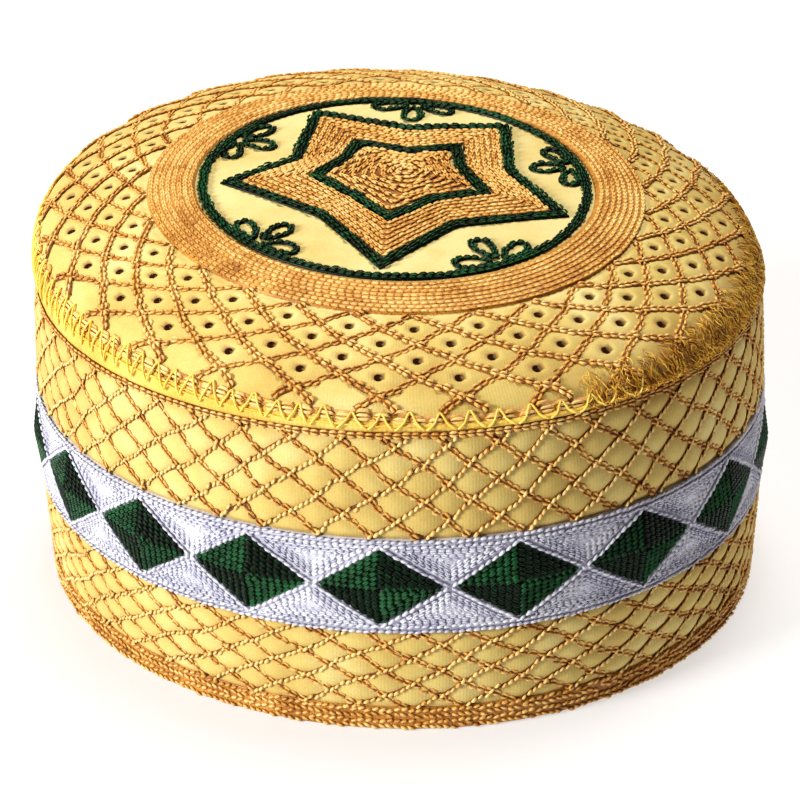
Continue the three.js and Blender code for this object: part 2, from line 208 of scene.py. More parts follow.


# %% [markdown]
# ## Thread and cloth
# The thread is a soft satin yarn. It is drawn brown in the depth of each stitch, as painted shade, and
# pale gold where it crosses over. A flat colour would look like plastic, so the colour runs over a ramp
# by Tone, and noise at two scales makes some stretches of thread darker. Sheen gives the soft edge that
# fibres have.


# %% Helpers for materials
NOISE_RANGE = (0.3, 0.7)


def set_inputs(node, values):
    """Sets constant numbers and colours on a node's own sockets."""
    for name, value in values.items():
        node.inputs[name].default_value = value


def new_material(name):
    material = bpy.data.materials.new(name)
    material.use_nodes = True
    return material, material.node_tree, material.node_tree.nodes["Principled BSDF"]


def cap_material(name):
    """A new material, with its place in object space and its mesh's Tone at hand."""
    material, tree, shader = new_material(name)
    place = tree.nodes.new("ShaderNodeTexCoord").outputs["Object"]
    tone = tree.nodes.new("ShaderNodeAttribute")
    tone.attribute_name = "Tone"
    return material, tree, shader, place, tone.outputs["Fac"]


def noise(tree, place, scale, detail=2.0, roughness=0.5):
    """A noise pattern in object space; the scale counts blobs for each metre."""
    texture = tree.nodes.new("ShaderNodeTexNoise")
    set_inputs(texture, {"Scale": scale, "Detail": detail, "Roughness": roughness})
    tree.links.new(place, texture.inputs["Vector"])
    return texture.outputs["Fac"]


def spread(tree, value, low, high):
    """Maps a noise pattern's middle stretch to a range."""
    node = tree.nodes.new("ShaderNodeMapRange")
    set_inputs(node, {"From Min": NOISE_RANGE[0], "From Max": NOISE_RANGE[1], "To Min": low, "To Max": high})
    tree.links.new(value, node.inputs["Value"])
    return node.outputs["Result"]


def combine(tree, operation, first, second=0.0):
    """A sum or another step of arithmetic on two patterns or numbers."""
    node = tree.nodes.new("ShaderNodeMath")
    node.operation = operation
    for socket, value in zip(node.inputs, (first, second)):
        if isinstance(value, (int, float)):
            socket.default_value = value
        else:
            tree.links.new(value, socket)
    return node.outputs["Value"]


def ramp(tree, value, stops):
    """A colour ramp: stops are (place, colour), the first at 0 and the last at 1."""
    node = tree.nodes.new("ShaderNodeValToRGB")
    elements = node.color_ramp.elements
    for place, _ in stops[1:-1]:
        elements.new(place)
    for element, (_, colour) in zip(elements, stops):
        element.color = (*colour, 1)
    tree.links.new(value, node.inputs["Fac"])
    return node.outputs["Color"]


def bump(tree, shader, height, distance):
    node = tree.nodes.new("ShaderNodeBump")
    set_inputs(node, {"Strength": 0.5, "Distance": distance * MM})
    tree.links.new(height, node.inputs["Height"])
    tree.links.new(node.outputs["Normal"], shader.inputs["Normal"])


# %% Thread material
def thread_material(name, stops, roughness, sheen, sheen_tint, gloss=0.5):
    material, tree, shader, place, tone = cap_material(name)
    patches = spread(tree, noise(tree, place, 90, 3), -0.14, 0.14)
    fibres = spread(tree, noise(tree, place, 2600), -0.16, 0.16)
    value = combine(tree, "ADD", combine(tree, "ADD", tone, patches), fibres)
    tree.links.new(ramp(tree, value, stops), shader.inputs["Base Color"])
    set_inputs(shader, {"Roughness": roughness, "Sheen Weight": sheen, "Sheen Roughness": 0.4,
                        "Sheen Tint": (*sheen_tint, 1), "Specular IOR Level": gloss})
    bump(tree, shader, noise(tree, place, 3800), 0.12)
    return material


GOLD_STOPS = [(0.0, (0.15, 0.045, 0.006)), (0.3, (0.44, 0.18, 0.03)), (0.6, (0.78, 0.42, 0.095)),
              (1.0, (0.95, 0.71, 0.30))]
GREEN_STOPS = [(0.0, (0.0005, 0.005, 0.001)), (0.5, (0.002, 0.028, 0.008)), (1.0, (0.016, 0.135, 0.045))]
WHITE_STOPS = [(0.0, (0.26, 0.27, 0.39)), (0.5, (0.48, 0.49, 0.64)), (1.0, (0.83, 0.85, 0.96))]
YELLOW_STOPS = [(0.0, (0.26, 0.09, 0.01)), (0.4, (0.72, 0.36, 0.04)), (0.75, (0.93, 0.60, 0.07)),
                (1.0, (0.98, 0.76, 0.18))]
GOLD = thread_material("gold thread", GOLD_STOPS, 0.5, 0.25, (1.0, 0.75, 0.4))
GREEN = thread_material("green thread", GREEN_STOPS, 0.42, 0.03, (0.6, 1.0, 0.65), 0.32)
WHITE = thread_material("white thread", WHITE_STOPS, 0.5, 0.2, (1.0, 1.0, 1.0))
YELLOW = thread_material("yellow thread", YELLOW_STOPS, 0.5, 0.3, (1.0, 0.85, 0.35))


# %% Cloth material
# The brown that Tone paints into the cloth: painted shade in creases and eyelets, and at the worn edge both
# wear and painted shade.
SHADE_AND_WEAR_BROWN = (0.26, 0.09, 0.025)


def cloth_material(name, stops, ribs, rib_depth):
    """Cotton: big soft patches of colour, a fine weave, and fine ribs that run up the cap.

    A Tone above 0 paints the cloth brown and one below 0 paints it paler: painted shade
    in creases and eyelets, painted light towards the crown's middle, and at the worn edge
    both wear and painted shade."""
    material, tree, shader, place, tone = cap_material(name)
    patches = noise(tree, place, 45, 4, 0.6)
    weave = noise(tree, place, 2400, 3, 0.7)
    value = combine(tree, "ADD", spread(tree, patches, 0.0, 0.7), spread(tree, weave, 0.0, 0.3))
    value = combine(tree, "SUBTRACT", value, combine(tree, "MINIMUM", tone, 0.0))
    painted_mix = tree.nodes.new("ShaderNodeMix")
    painted_mix.data_type = "RGBA"
    tree.links.new(tone, painted_mix.inputs["Factor"])
    tree.links.new(ramp(tree, value, stops), painted_mix.inputs["A"])
    painted_mix.inputs["B"].default_value = (*SHADE_AND_WEAR_BROWN, 1)
    tree.links.new(painted_mix.outputs["Result"], shader.inputs["Base Color"])
    set_inputs(shader, {"Roughness": 0.85, "Sheen Weight": 0.25, "Sheen Roughness": 0.5,
                        "Sheen Tint": (1.0, 0.88, 0.5, 1)})
    turn = tree.nodes.new("ShaderNodeTexGradient")
    turn.gradient_type = "RADIAL"
    tree.links.new(place, turn.inputs["Vector"])
    phase = combine(tree, "MULTIPLY", turn.outputs["Fac"], ribs * 2 * math.pi)
    rib_height = combine(tree, "MULTIPLY", combine(tree, "SINE", phase), rib_depth)
    bump(tree, shader, combine(tree, "ADD", rib_height, weave), 0.15)
    return material


COTTON_STOPS = [(0.0, (0.60, 0.42, 0.12)), (0.5, (0.73, 0.57, 0.19)), (1.0, (0.86, 0.75, 0.36))]
BINDING_STOPS = [(0.0, (0.62, 0.38, 0.06)), (0.5, (0.82, 0.57, 0.12)), (1.0, (0.90, 0.72, 0.24))]
CLOTH = cloth_material("yellow cotton", COTTON_STOPS, 720, 0.12)
BINDING = cloth_material("binding cotton", BINDING_STOPS, 520, 0.25)
print("materials:", [m.name for m in (GOLD, GREEN, WHITE, YELLOW, CLOTH, BINDING)])

# %% [markdown]
# ## How a stitch is made
# A chain stitch is a small loop: two strands leave one point, spread apart, and close inside the next
# loop. A rope stitch is one strand that lies slanted across the row. A braid's two strands start in the
# middle of the row and end at its sides, and a border loop's two close at both ends. One stitch could
# be modelled by hand and copied along a curve, but the copies would not bend with the cap. So a stitch
# is written as four stations: how far along, how far out and how high. A strand starts as a point at
# the first, is round at the middle two, and ends as a point at the last. Its depth is how much darker
# it is drawn at those points, where it dives into the cloth: a painted shade. Its upper side is drawn a
# little lighter than its lower side, a painted light. One function lays such strands along any line on
# the wall or the crown.

# %% The stitches
# depth: how much darker each strand is drawn at its ends, a painted shade where it dives into the cloth.
CHAIN = {"sides": (-1, 1), "depth": 0.4,
         "stations": [(-0.05, 0.05, -0.50), (0.35, 0.72, 0.15), (0.80, 0.95, 0.25), (1.30, 0.35, -0.55)]}
ROPE = {"sides": (1,), "depth": 0.4,
        "stations": [(-0.20, -0.80, -0.50), (0.28, -0.35, 0.30), (0.78, 0.35, 0.30), (1.30, 0.80, -0.50)]}
ROPE_BACK = {**ROPE, "sides": (-1,)}
BRAID = {"sides": (-1, 1), "depth": 0.25,
         "stations": [(-0.30, 0.0, -0.45), (0.20, 0.30, 0.25), (0.75, 0.72, 0.20), (1.25, 1.0, -0.50)]}
LOOP = {"sides": (-1, 1), "depth": 0.4,
        "stations": [(0.0, 0.10, -0.30), (0.28, 0.95, 0.20), (0.72, 0.95, 0.20), (1.05, 0.10, -0.30)]}
FLATNESS = 0.72
STATIONS = 4


def follow(points, length, at, closed):
    """Points, or any values, at distances along a line."""
    total = length[-1]
    at = at % total if closed else np.clip(at, 0, total)
    return np.stack([np.interp(at, length, points[:, axis]) for axis in range(points.shape[1])], -1)


def densify(line, step):
    """The same line with a point at least every step."""
    length = lengths(line)
    count = max(2, int(length[-1] / step) + 1)
    at = np.union1d(np.linspace(0, length[-1], count), length)
    return follow(line, length, at, False)


# %% Tapered strands
def thread_ring(ahead, up, corners, flatness=1.0):
    """Directions from a thread's middle to the corners of its section, and how high each one lies."""
    across = unit(np.cross(ahead, up))
    over = np.cross(across, ahead) * flatness
    turn = np.arange(corners) * 2 * math.pi / corners
    ring = np.cos(turn)[None, :, None] * across[:, None] + np.sin(turn)[None, :, None] * over[:, None]
    return ring, np.sin(turn)


def strand_mesh(centres, ups, thick, corners, tone, depth):
    """Short flattened strands, each from a point through two rings to a point."""
    ring, rise = thread_ring(unit(centres[:, 2] - centres[:, 1]), ups, corners, FLATNESS)
    ring = ring * thick[:, None, None]
    points = np.concatenate([centres[:, None, 0], centres[:, None, 1] + ring,
                             centres[:, None, 2] + ring, centres[:, None, 3]], 1)
    each = 2 + 2 * corners
    k = np.arange(corners)
    after = (k + 1) % corners
    tips = np.concatenate([np.stack([0 * k, 1 + after, 1 + k], -1),
                           np.stack([0 * k + each - 1, 1 + corners + k, 1 + corners + after], -1)])
    base = np.arange(len(centres))[:, None, None] * each
    # Painted shade and light: each strand is darker at its tips by depth, and lighter on its upper corners
    # than its lower ones.
    painted_shading = np.concatenate([[-depth], rise * 0.2, rise * 0.2, [-depth]])
    tones = tone[:, None] + painted_shading[None]
    faces = [(group[None] + base).reshape(-1, group.shape[1]) for group in (tips, 1 + tube_faces(2, corners))]
    return points.reshape(-1, 3), *faces, tones.ravel()


# %% Rows of stitches
CORD_STEP = 1.6
CORD_HEIGHT = 0.3


def path_on(face, line, lift, step, closed):
    """A line laid on a face: its points, the directions away from the face, and its length so far."""
    line = np.asarray(line, float)
    if closed:
        line = np.concatenate([line, line[:1]])
    line = densify(line, step)
    points = face(line, lift)
    normals = unit(face(line, lift + 1.0) - points)
    return line, points, normals, lengths(points)


def stitch_row(face, line, lift, stitch, pitch, width, thread, closed=False, tone=0.55, corners=4, painted_slant=0.0,
               uneven=0.06, spine=None):
    """One row of stitches along a line on a face of the cap.

    A slant paints rows that rise to the right lighter and those that fall darker: painted highlight and
    painted shade, as satin thread shows under a light from the upper left. A cord's tone adds a flat dark
    cord under the row, painted shade between its strands."""
    plan, points, normals, length = path_on(face, line, lift, pitch / 2, closed)
    count = max(1, int(round(length[-1] / pitch)))
    real = length[-1] / count

    def step_along(values, at, back, ahead):
        return follow(values, length, at + ahead, closed) - follow(values, length, at + back, closed)

    start = np.arange(count) * real + random.uniform(-uneven, uneven, count) * real
    heading = step_along(plan, start, 0.3 * real, 0.6 * real)
    shade = tone + random.normal(0, 0.08, count)
    shade = shade + 0.1 * np.sin(np.arange(count) * 0.13 + random.uniform(0, 6))
    # Painted highlight and painted shade by the row's direction.
    shade = shade + painted_slant * np.sin(2 * np.arctan2(heading[:, 1], heading[:, 0]))
    wobble = random.normal(0, uneven, count) * width
    stations = np.array(stitch["stations"])
    flat = (start[:, None] + stations[None, :, 0] * real).ravel()
    centre = follow(points, length, flat, closed)
    up = unit(follow(normals, length, flat, closed))
    side = np.cross(up, unit(step_along(points, flat, -0.2, 0.2)))
    parts = []
    for sign in stitch["sides"]:
        thick = thread * (1 + random.normal(0, 0.08, count))
        out = np.tile(stations[:, 1], count) * sign * (width / 2 - thread) + np.repeat(wobble, STATIONS)
        rise = np.tile(stations[:, 2], count) * thread
        place = (centre + side * out[:, None] + up * rise[:, None]).reshape(count, STATIONS, 3)
        parts.append(strand_mesh(place, up.reshape(count, STATIONS, 3)[:, 1], thick, corners,
                                 shade + random.normal(0, 0.05, count), stitch["depth"]))
    # A flat dark cord under the row: painted shade that shows between the strands.
    if spine is not None:
        half = width / 2 - 0.45 * thread if len(stitch["sides"]) == 2 else 0.9 * thread
        parts.append(flat_cord(face, line, lift - 0.75 * thread, half, spine, closed))
    return parts


def flat_cord(face, line, lift, half_width, tone, closed):
    """A flat cord along a line, four-sided and dark: painted shade that shows between the strands of a row.
    """
    _, points, normals, _ = path_on(face, line, lift, CORD_STEP, closed)
    side = np.cross(normals, unit(np.gradient(points, axis=0))) * half_width
    thick = normals * CORD_HEIGHT
    rows = len(points)
    rails = np.stack([points + side, points + thick, points - side, points - thick], 1).reshape(-1, 3)
    ends = np.array([[0, 1, 2, 3], [3, 2, 1, 0]]) + np.array([[0], [(rows - 1) * 4]])
    quads = np.concatenate([tube_faces(rows, 4)[:, [0, 3, 2, 1]], ends])
    return rails, np.zeros((0, 3), int), quads, np.full(len(rails), float(tone))


# %% Pads, and a whole piece of embroidery
# A pad mostly gets a lower Tone than the rows on it, so that where it shows between the stitches it is
# painted shade.
def pad_mesh(face, outer, inner, lift, tone, rows=6):
    """A thin padded strip between two closed lines with as many points, its edges tucked under."""
    shares = np.concatenate([[0], np.linspace(0.02, 0.98, rows), [1], [1, 0]])
    lifts = np.concatenate([[-0.05], np.full(rows, lift), [-0.05], [-0.4, -0.4]])
    loops = [face(outer + (inner - outer) * share, level) for share, level in zip(shares, lifts)]
    points = np.concatenate(loops)
    faces = wrap_faces(len(loops), len(outer))
    return points, np.zeros((0, 3), int), faces, np.full(len(points), float(tone))


def gather(parts):
    """Joins the points, triangles, quads and tones of many parts into one mesh."""
    starts = np.cumsum([0] + [len(part[0]) for part in parts])
    points, tips, sides, tones = zip(*parts)
    faces = [np.concatenate([face + start for face, start in zip(group, starts)]) for group in (sides, tips)]
    return np.concatenate(points), [face for face in faces if len(face)], np.concatenate(tones)


def sew(name, material, slot, rows, pads=(), replaced=()):
    """A piece of embroidery: rows are the argument dictionaries of stitch_row, pads lie under them."""
    parts = list(pads) + [part for row in rows for part in stitch_row(**row)]
    make_piece(name, material, slot, *gather(parts), replaced)


# %% [markdown]
# ## The quilted wall
# The wall is two layers of cotton with padding, sewn through in crossing slanted rows, so it puffs up
# between them. A displacement texture could do that, but the puffs have to meet the sewn rows exactly,
# so the height comes from the same spacing and slope as the rows.

# %% Lattice of the wall
PUFF_HEIGHT = 1.0
PUFF_EDGE = 1.5
PUFF_SHARPNESS = 0.6
RISING_SEED = 1.0
FALLING_SEED = 2.0
LATTICES = [
    {"low": HEM_HEIGHT - 0.6, "high": BAND_BOTTOM, "lines": 45, "slope": 0.56, "shift": 3.0},
    {"low": BAND_TOP, "high": WALL_HEIGHT - 1.2, "lines": 48, "slope": 0.78, "shift": 5.0},
]


def sway(arc, seed):
    """Hand-guided rows wander a little: millimetres of drift at a place round the cap."""
    turn = arc / CAP_RADIUS
    slow = 0.8 * np.sin(3 * turn + seed) + 0.7 * np.sin(11 * turn + 2.3 * seed)
    return slow + 0.6 * np.sin(23 * turn + 4.1 * seed) + 0.4 * np.sin(37 * turn + 1.7 * seed)


def wall_puff(plan):
    """How far the quilted cloth stands out from the wall's face."""
    arc, z = plan[..., 0], plan[..., 1]
    height = np.zeros_like(arc)
    for lattice in LATTICES:
        step = ROUND / lattice["lines"]
        drift = (z - lattice["low"]) / lattice["slope"]
        rising = (arc - lattice["shift"] - drift - sway(arc, RISING_SEED)) / step
        falling = (arc - lattice["shift"] + drift - sway(arc, FALLING_SEED)) / step
        puff = np.abs(np.sin(math.pi * rising) * np.sin(math.pi * falling)) ** PUFF_SHARPNESS
        inside = np.clip(np.minimum(z - lattice["low"], lattice["high"] - z) / PUFF_EDGE, 0, 1)
        height = height + PUFF_HEIGHT * puff * inside
    return height


# %% Wall cloth
WALL_COLUMNS = 480
WALL_FACE_SINK = 0.15
WALL_BACK_RISE = 0.25
WALL_BACK_PUFF = 0.5
CREASE_SHADE = 0.34
arc = np.arange(WALL_COLUMNS) * ROUND / WALL_COLUMNS
outer_z = np.concatenate([np.linspace(0, HEM_HEIGHT, 5)[:-1], np.linspace(HEM_HEIGHT, BAND_BOTTOM, 20)[:-1],
                          np.linspace(BAND_BOTTOM, BAND_TOP, 6)[:-1], np.linspace(BAND_TOP, WALL_HEIGHT, 25)])
outer_plan = pairs(arc[None, :], outer_z[:, None])
inner_plan = pairs(arc[None, :], np.linspace(WALL_HEIGHT, 0, 28)[:, None])
outer_puff = wall_puff(outer_plan)
inner_lift = WALL_BACK_RISE - CLOTH_THICKNESS - WALL_BACK_PUFF * wall_puff(inner_plan)
skins = np.concatenate([on_wall(outer_plan, outer_puff - WALL_FACE_SINK), on_wall(inner_plan, inner_lift)])
# Painted shade: the cloth is drawn browner where the quilting presses it down between the puffs.
painted_crease = CREASE_SHADE * (1 - np.clip(outer_puff, 0, 1)) ** 1.5
make_piece("wall_cloth", CLOTH, "cloth_yellow", skins.reshape(-1, 3), [wrap_faces(len(skins), WALL_COLUMNS)],
           np.concatenate([painted_crease, 0 * inner_lift]), ["side_wall"])

# %% Rows of the wall's lattice
# The rising rows get a much higher Tone than the falling ones: painted highlight and painted shade, as satin
# thread shows under a light from the upper left.
FALLING_ROW = dict(lift=0.3, stitch=CHAIN, pitch=2.2, width=2.1, thread=0.4, tone=0.53, spine=0.2)
RISING_ROW = dict(lift=0.55, stitch=ROPE, pitch=1.6, width=1.75, thread=0.42, tone=0.86, spine=0.0)
lattice_rows = []
for lattice in LATTICES:
    step = ROUND / lattice["lines"]
    reach = (lattice["high"] - lattice["low"]) / lattice["slope"]
    share = np.linspace(0, 1, 24)
    heights = lattice["low"] + share * (lattice["high"] - lattice["low"])
    for k in range(lattice["lines"]):
        for sign, seed, sewing in ((-1, FALLING_SEED, FALLING_ROW), (1, RISING_SEED, RISING_ROW)):
            place = k * step + lattice["shift"] + sign * share * reach
            line = pairs(place + sway(place, seed), heights)
            lattice_rows.append(dict(face=on_wall, line=line, uneven=0.12, **sewing))
sew("wall_lattice", GOLD, "thread_gold", lattice_rows)

# %% Hem and edge rows
HEM_ROW = dict(lift=0.62, pitch=1.7, width=2.0, thread=0.45, tone=0.6, uneven=0.12)
HEM_STITCHES = {1.1: ROPE_BACK, 2.75: ROPE, 4.4: ROPE_BACK, 6.0: ROPE}
all_round = np.linspace(0, ROUND, 361)


def ring_line(z):
    return pairs(all_round, z)


def wall_pad(low, high, lift, tone, rows=6):
    """A padded strip all round the wall, between two heights."""
    return pad_mesh(on_wall, ring_line(low)[:-1], ring_line(high)[:-1], lift, tone, rows)


hem = [dict(face=on_wall, line=ring_line(z), stitch=stitch, **HEM_ROW) for z, stitch in HEM_STITCHES.items()]
sew("hem_stitches", GOLD, "thread_gold", hem, [wall_pad(0.4, HEM_HEIGHT - 0.3, 0.5, 0.36)], ["hem_rows"])
edge = dict(face=on_wall, line=ring_line(WALL_HEIGHT - 0.6), lift=0.35, stitch=CHAIN, pitch=2.1, width=1.9,
            thread=0.36, tone=0.65, spine=0.05)
sew("edge_chain", GOLD, "thread_gold", [edge])

# %% [markdown]
# ## The crown
# The crown is a quilted disc with punched eyelets in the middle of its stitched diamonds. Booleans on
# such a fine mesh are slow and leave long thin faces. Instead each eyelet's cell is meshed as rings
# that pass from the square cell to the round hole, and the cells are joined where they meet.

# %% The crown's rounded edge
EDGE_ROUND = 4.2
ROUND_START = 85.2
CLOTH_EDGE = 89.3


def edge_drop(radius):
    """How far the crown's cloth has rolled down over the shoulder."""
    reach = np.clip(radius - ROUND_START, 0, CLOTH_EDGE - ROUND_START)
    return EDGE_ROUND - np.sqrt(EDGE_ROUND**2 - reach**2)


def on_quilt(plan, lift):
    """Points over the crown and its rounded edge, lifted at right angles to the cloth."""
    radius = np.hypot(plan[..., 0], plan[..., 1])
    around = plan / np.maximum(radius, 1e-6)[..., None]
    small = 0.05
    rise = crown_height(radius + small) - edge_drop(radius + small) - crown_height(radius) + edge_drop(radius)
    long = np.hypot(small, rise)
    out = radius - lift * rise / long
    height = crown_height(radius) - edge_drop(radius) + lift * small / long
    return settle(np.stack([around[..., 0] * out, around[..., 1] * out, height], -1))


# %% Field of eyelets
FIELD_INNER = 64.2
FIELD_OUTER = 83.4
EYELET_ROWS = 4
CROWN_CELLS = 56
ROW_PITCH = (FIELD_OUTER - FIELD_INNER) / EYELET_ROWS
CELL_TURN = 2 * math.pi / CROWN_CELLS
FIRST_ROW = FIELD_INNER + ROW_PITCH / 2
EYELET_RADIUS = 0.98
EYELET_DIP = 0.7
EYELET_DIP_WIDTH = 0.45
CROWN_PUFF = 0.75
CELL_STEPS = 5


def crown_puff(angle, radius):
    """How far the cloth stands up between the crown's rows of stitches."""
    x = (radius - FIRST_ROW) / ROW_PITCH
    rising = (angle / CELL_TURN + 0.5 - x) / 2
    falling = (angle / CELL_TURN + 0.5 + x) / 2
    puff = np.abs(np.sin(math.pi * rising) * np.sin(math.pi * falling)) ** PUFF_SHARPNESS
    inside = np.clip(np.minimum(radius - FIELD_INNER + 2, FIELD_OUTER + PUFF_EDGE - radius) / PUFF_EDGE, 0, 1)
    return CROWN_PUFF * puff * inside


def eyelet_distance(angle, radius):
    """Distance from the nearest punched hole's edge, less than 0 inside the hole."""
    row = np.clip(np.floor((radius - FIELD_INNER) / ROW_PITCH), 0, EYELET_ROWS - 1)
    odd = row % 2
    column = 2 * np.round((angle / CELL_TURN - 0.5 - odd) / 2) + odd
    away = radius * (angle - (column + 0.5) * CELL_TURN)
    return np.hypot(away, radius - FIRST_ROW - row * ROW_PITCH) - EYELET_RADIUS


# %% Cells of the crown
def cell_turns(first_turn, count):
    return first_turn + np.arange(count + 1) * CELL_TURN / CELL_STEPS


def plain_cell(first_turn, turn_steps, ring_radii):
    """Quads between rings, as [angle, radius] corners."""
    grid = pairs(cell_turns(first_turn, turn_steps)[None, :], ring_radii[:, None])
    quads = np.stack([grid[:-1, :-1], grid[1:, :-1], grid[1:, 1:], grid[:-1, 1:]], 2)
    return quads.reshape(-1, 4, 2)


def eyelet_cell(first_turn, inner):
    """Quads from a square cell's border to its round hole, and the hole's edge."""
    along = np.arange(CELL_STEPS) / CELL_STEPS
    square = np.concatenate([pairs(along, 0), pairs(1, along), pairs(1 - along, 1), pairs(0, 1 - along)])
    middle_radius = inner + ROW_PITCH / 2
    middle_turn = first_turn + CELL_TURN / 2
    border = pairs(first_turn + square[:, 0] * CELL_TURN, inner + square[:, 1] * ROW_PITCH)
    local = pairs((border[:, 0] - middle_turn) * middle_radius, border[:, 1] - middle_radius)
    rings = [border]
    for share in (0.4, 0.75, 1):
        at = local * (1 - share) + unit(local) * EYELET_RADIUS * share
        rings.append(pairs(middle_turn + at[:, 0] / middle_radius, middle_radius + at[:, 1]))
    quads = [np.stack([outer, inside, np.roll(inside, -1, 0), np.roll(outer, -1, 0)], 1)
             for outer, inside in zip(rings[:-1], rings[1:])]
    return np.concatenate(quads), np.stack([rings[-1], np.roll(rings[-1], -1, 0)], 1)


turns = CROWN_CELLS * CELL_STEPS
inner_rings = np.concatenate([[3.0], np.linspace(8, 60, 14), [62.2, 63.2, FIELD_INNER]])
outer_rings = np.array([FIELD_OUTER, 84.4, 85.3, 86.1, 86.8, 87.5, 88.1, 88.6, 89.0, CLOTH_EDGE])
top_quads = [plain_cell(0, turns, inner_rings), plain_cell(0, turns, outer_rings)]
hole_edges = []
for row in range(EYELET_ROWS):
    inner = FIELD_INNER + row * ROW_PITCH
    for column in range(CROWN_CELLS):
        if (row + column) % 2 == 0:
            quads, edges = eyelet_cell(column * CELL_TURN, inner)
            hole_edges.append(edges)
        else:
            radii = np.linspace(inner, inner + ROW_PITCH, CELL_STEPS + 1)
            quads = plain_cell(column * CELL_TURN, CELL_STEPS, radii)
        top_quads.append(quads)
top_quads = np.concatenate(top_quads)
print("crown quads:", len(top_quads), "eyelets:", len(hole_edges))


# %% Both skins of the crown, joined at the holes and the rim
def with_side(corners, side):
    return np.concatenate([corners, np.full((*corners.shape[:-1], 1), side)], -1)


rim = pairs(cell_turns(0, turns), CLOTH_EDGE)
borders = np.concatenate([*hole_edges, np.stack([rim[1:], rim[:-1]], 1)])
upper, lower = with_side(borders, 0.0), with_side(borders, 1.0)
border_quads = np.stack([upper[:, 0], upper[:, 1], lower[:, 1], lower[:, 0]], 1)
all_quads = np.concatenate([with_side(top_quads, 0.0)[:, ::-1], with_side(top_quads, 1.0),
                            border_quads[:, ::-1]])
corners = all_quads.reshape(-1, 3)
plan = polar(corners[:, 0], corners[:, 1])
keys = np.round(np.concatenate([plan, corners[:, 2:]], -1), 3)
_, first, where = np.unique(keys, axis=0, return_index=True, return_inverse=True)
where = where.reshape(-1, 4)
angle, radius, side = corners[first].T
under = side > 0.5

# %% Crown cloth
EYELET_SHADE = 0.9
EYELET_SHADE_REACH = 0.35
CROWN_CREASE_SHADE = 0.3
WORN_TURN = 68
WORN_SPREAD = 30
WORN_SHADE = 0.4
WORN_RADIUS = 80
WORN_REACH = 6
CENTRE_PAINTED_LIGHT = 0.4
PAINTED_LIGHT_RADIUS = 82
PAINTED_LIGHT_REACH = 34
UNDER_RISE = 0.3
UNDER_PUFF = 0.3
UNDER_DROP = 0.9
TOP_SINK = 0.1
puff = crown_puff(angle, radius)
distance = eyelet_distance(angle, radius)
dip = EYELET_DIP * np.exp(-((np.maximum(distance, 0) / EYELET_DIP_WIDTH) ** 2))
lift = np.where(under, UNDER_RISE - CLOTH_THICKNESS - UNDER_PUFF * puff, puff - TOP_SINK - dip)
lift = lift - np.where(under, UNDER_DROP, 1.0) * edge_drop(radius)
# Painted shade: the eyelets' walls and a thin ring round each hole are drawn brown, as shade inside the
# holes.
shading_and_wear = np.clip(EYELET_SHADE - distance / EYELET_SHADE_REACH, 0, 1)
in_field = (radius > FIELD_INNER - 2) & (radius < FIELD_OUTER + 1)
# Painted shade in the creases between the crown's puffs.
painted_crease = CROWN_CREASE_SHADE * (1 - np.clip(puff / CROWN_PUFF, 0, 1)) ** 1.5
shading_and_wear = np.where(in_field & ~under, np.maximum(shading_and_wear, painted_crease), shading_and_wear)
# The crown's edge at the worn right side is drawn browner: partly wear, partly painted shade of that side.
worn = np.exp(-(((np.degrees(angle - FRONT) - WORN_TURN + 180) % 360 - 180) / WORN_SPREAD) ** 2)
wear_and_shade = WORN_SHADE * worn * np.clip((radius - WORN_RADIUS) / WORN_REACH, 0, 1)
shading_and_wear = np.where(radius > WORN_RADIUS, np.maximum(shading_and_wear, wear_and_shade), shading_and_wear)
# Painted light: the cloth is drawn paler towards the crown's middle.
painted_light = -CENTRE_PAINTED_LIGHT * np.clip((PAINTED_LIGHT_RADIUS - radius) / PAINTED_LIGHT_REACH, 0, 1)
shading_and_wear = np.where(shading_and_wear > 0, shading_and_wear + painted_light, painted_light)
middles = [on_crown(np.zeros(2), -TOP_SINK), on_crown(np.zeros(2), UNDER_RISE - CLOTH_THICKNESS)]
crown_points = np.concatenate([on_crown(polar(angle, radius), lift), middles])
hub = np.full(turns, len(first))
fans = [np.stack([hub + skin, ring[:, 3], ring[:, 0]], -1)
        for skin, ring in enumerate((where[:turns], where[len(top_quads):len(top_quads) + turns]))]
make_piece("crown_cloth", CLOTH, "cloth_yellow", crown_points, [where, np.concatenate(fans)],
           np.append(shading_and_wear, [0, 0]), ["crown_panel"])

# %% Lattice of the crown
CROWN_ROW = dict(stitch=CHAIN, pitch=2.0, width=2.15, thread=0.4, spine=0.2, uneven=0.14)
crown_rows = []
steps = np.linspace(-0.92, 4.5, 28)
for k in range(CROWN_CELLS // 2):
    for sign, lift, tone in ((-1, 0.2, 0.52), (1, 0.5, 0.66)):
        angles = (2 * k - 0.5 + sign * steps) * CELL_TURN
        angles = angles + 0.0045 * np.sin(2.1 * steps + 1.7 * k + sign)
        angles = angles + 0.003 * np.sin(5.3 * steps + 2.9 * k)
        line = polar(angles, FIRST_ROW + steps * ROW_PITCH)
        crown_rows.append(dict(face=on_quilt, line=line, lift=lift, tone=tone, **CROWN_ROW))
sew("crown_lattice", GOLD, "thread_gold", crown_rows)

# %% [markdown]
# ## The rolled binding
# A bias strip is rolled over the seam between wall and crown. It is low at the front and tall at the
# back. A bevelled curve would keep one round section all the way, but the roll is squeezed where the
# crown leans down, so its section is drawn once and then settled with the cap.

# %% Section of the roll
# Each point is a share of how far the roll stands proud, and a share of its height.
ROLL_SECTION = [(-0.2, -0.12), (0.1, 0.10), (0.3, 0.34), (0.2, 0.58), (-0.3, 0.80), (-1.5, 0.92),
                (-3.2, 0.98), (-5.0, 1.0)]


